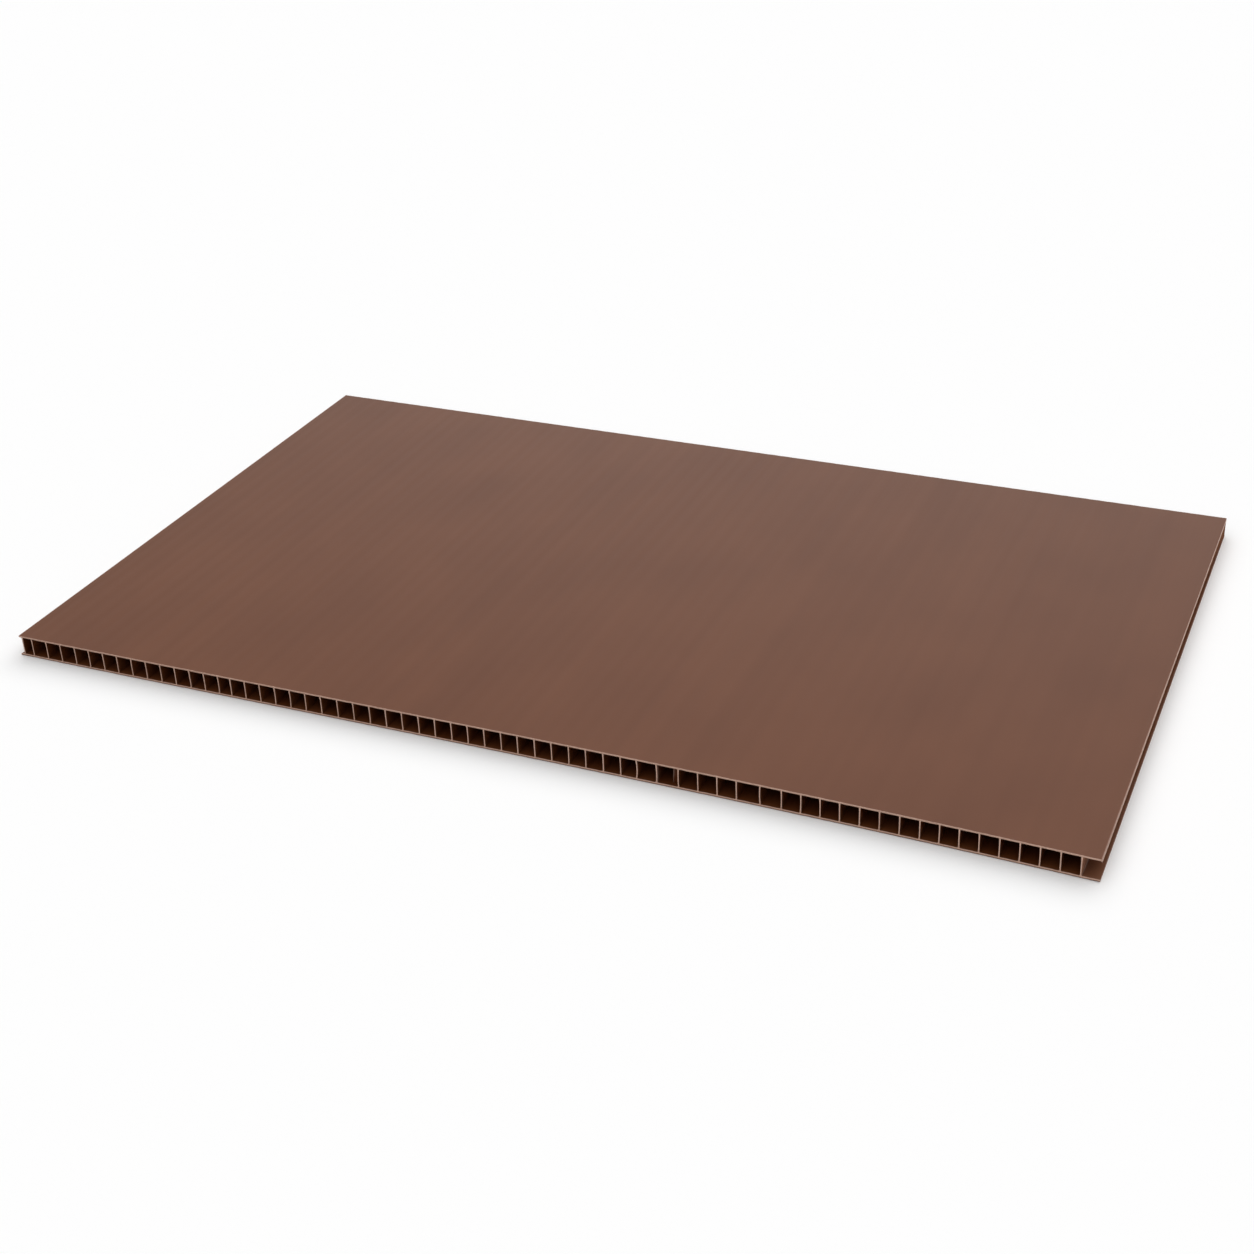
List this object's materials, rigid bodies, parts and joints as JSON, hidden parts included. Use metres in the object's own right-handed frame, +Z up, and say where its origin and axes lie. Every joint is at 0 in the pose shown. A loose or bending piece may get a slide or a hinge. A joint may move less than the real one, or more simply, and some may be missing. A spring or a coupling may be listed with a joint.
{
  "type": "corrugated plastic sheet",
  "caption": "Flat rectangular sheet of twin-wall fluted plastic: two thin skins joined by upright ribs, with open flutes running through from edge to edge.",
  "frame": {"origin": "middle of the underside, at the centre of the sheet's bounding box", "axes": "+X along the long side, across the flutes; +Y along the flutes, from the slightly hollow front edge to the straight back edge; +Z up through the thickness"},
  "size_m": [0.5, 0.3, 0.01],
  "materials": {
    "polypropylene": "satin"
  },
  "bodies": {
    "root": {"corrugated_sheet": "polypropylene"}
  },
  "joints": []
}
